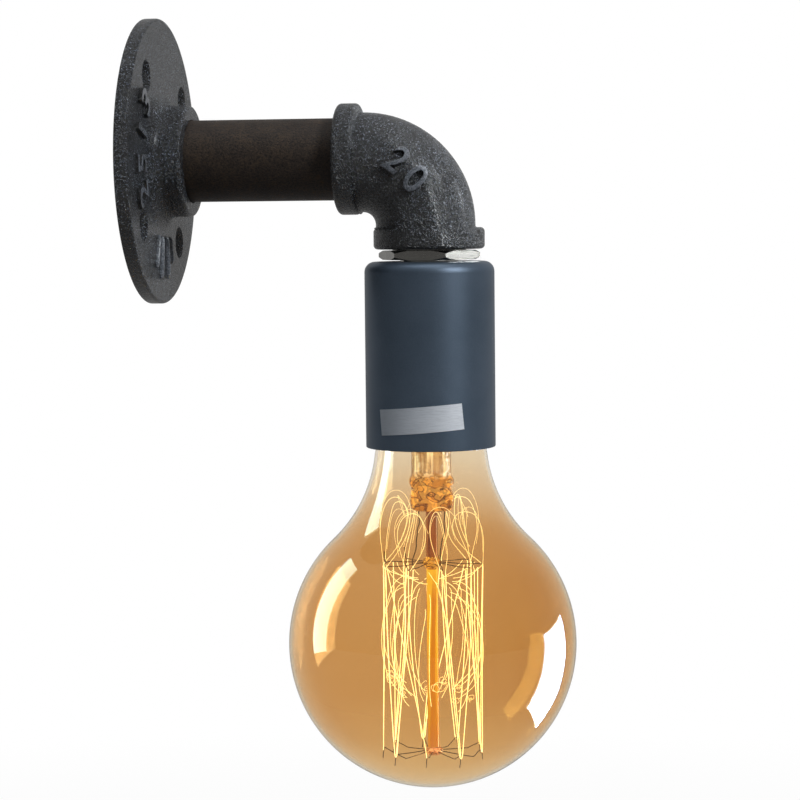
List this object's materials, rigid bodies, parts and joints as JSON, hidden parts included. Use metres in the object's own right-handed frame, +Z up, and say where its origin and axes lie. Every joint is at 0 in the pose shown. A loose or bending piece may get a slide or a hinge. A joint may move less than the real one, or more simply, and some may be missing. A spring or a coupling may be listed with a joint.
{
  "type": "wall light",
  "caption": "Industrial pipe wall light: round cast flange, straight pipe, banded elbow, slate cup lampholder and an amber globe bulb with a caged filament.",
  "frame": {"origin": "centre of the flange's back face, on the pipe's axis", "axes": "+X out of the wall along the pipe, +Z up, lamp hangs towards -Z"},
  "size_m": [0.1408, 0.095, 0.254],
  "materials": {
    "cast_flange": "rough black coating",
    "dark_pipe": "satin, brown-black",
    "cast_elbow": "rough black coating",
    "nickel_steel": "bright, turned",
    "zinc_steel": "zinc plated",
    "brass": "plain",
    "slate_paint": "satin slate blue-grey",
    "label_foil": "satin foil",
    "black_moulding": "moulded",
    "white_ceramic": "unglazed",
    "brown_insulation": "satin",
    "blue_insulation": "satin",
    "green_insulation": "satin",
    "copper": "bare",
    "amber_glass": "polished amber",
    "gold_cap": "satin",
    "black_glass": "vitrified",
    "solder": "matt",
    "cement": "baked",
    "clear_amber": "fire polished",
    "glowing_rod": "lit by the filament",
    "dark_wire": "oxidised",
    "filament": "glowing"
  },
  "bodies": {
    "base": {"wall_flange": "cast_flange", "pipe_nipple": "dark_pipe"},
    "arm": {"pipe_elbow": "cast_elbow", "reducing_bush": "nickel_steel", "cover_washer": "nickel_steel", "threaded_tube": "zinc_steel", "earth_tag": "brass", "tag_locknut": "zinc_steel", "lamp_cover": "slate_paint", "rating_label": "label_foil", "star_washer": "zinc_steel", "cover_locknut": "zinc_steel", "holder_cap": "black_moulding", "grub_screw": "zinc_steel", "holder_skirt": "black_moulding", "holder_core": "white_ceramic", "core_rivets": "brass", "terminal_blocks": "brass", "clamp_screws": "zinc_steel", "centre_contact": "brass", "screw_shell": "brass", "live_lead": "brown_insulation", "neutral_lead": "blue_insulation", "earth_lead": "green_insulation", "lead_ferrules": "zinc_steel", "lead_cores": "copper"},
    "bulb_carriage": {"cap_contact": "solder"},
    "bulb": {"glass_envelope": "amber_glass", "bulb_cap": "gold_cap", "cap_insulator": "black_glass", "cap_cement": "cement", "glass_stem": "clear_amber", "stem_rod": "glowing_rod", "upper_button": "clear_amber", "lower_button": "clear_amber", "upper_supports": "dark_wire", "lower_supports": "dark_wire", "lead_in_wires": "dark_wire", "filament": "filament"}
  },
  "joints": [
    {"name": "arm_swivel", "type": "hinge", "parent": "base", "child": "arm", "pos_m": [0, 0, 0], "axis": [1, 0, 0], "range_deg": [-90, 90]},
    {"name": "bulb_travel", "type": "slide", "parent": "arm", "child": "bulb_carriage", "axis": [0, 0, -1], "range_m": [0, 0.01815]},
    {"name": "bulb_turn", "type": "hinge", "parent": "bulb_carriage", "child": "bulb", "pos_m": [0.0933, 0, -0.0906], "axis": [0, 0, -1], "range_deg": [0, 1800]}
  ],
  "couplings": [
    {"joint": "bulb_travel", "follows": "bulb_turn", "m_per_rad": 0.00057757}
  ]
}
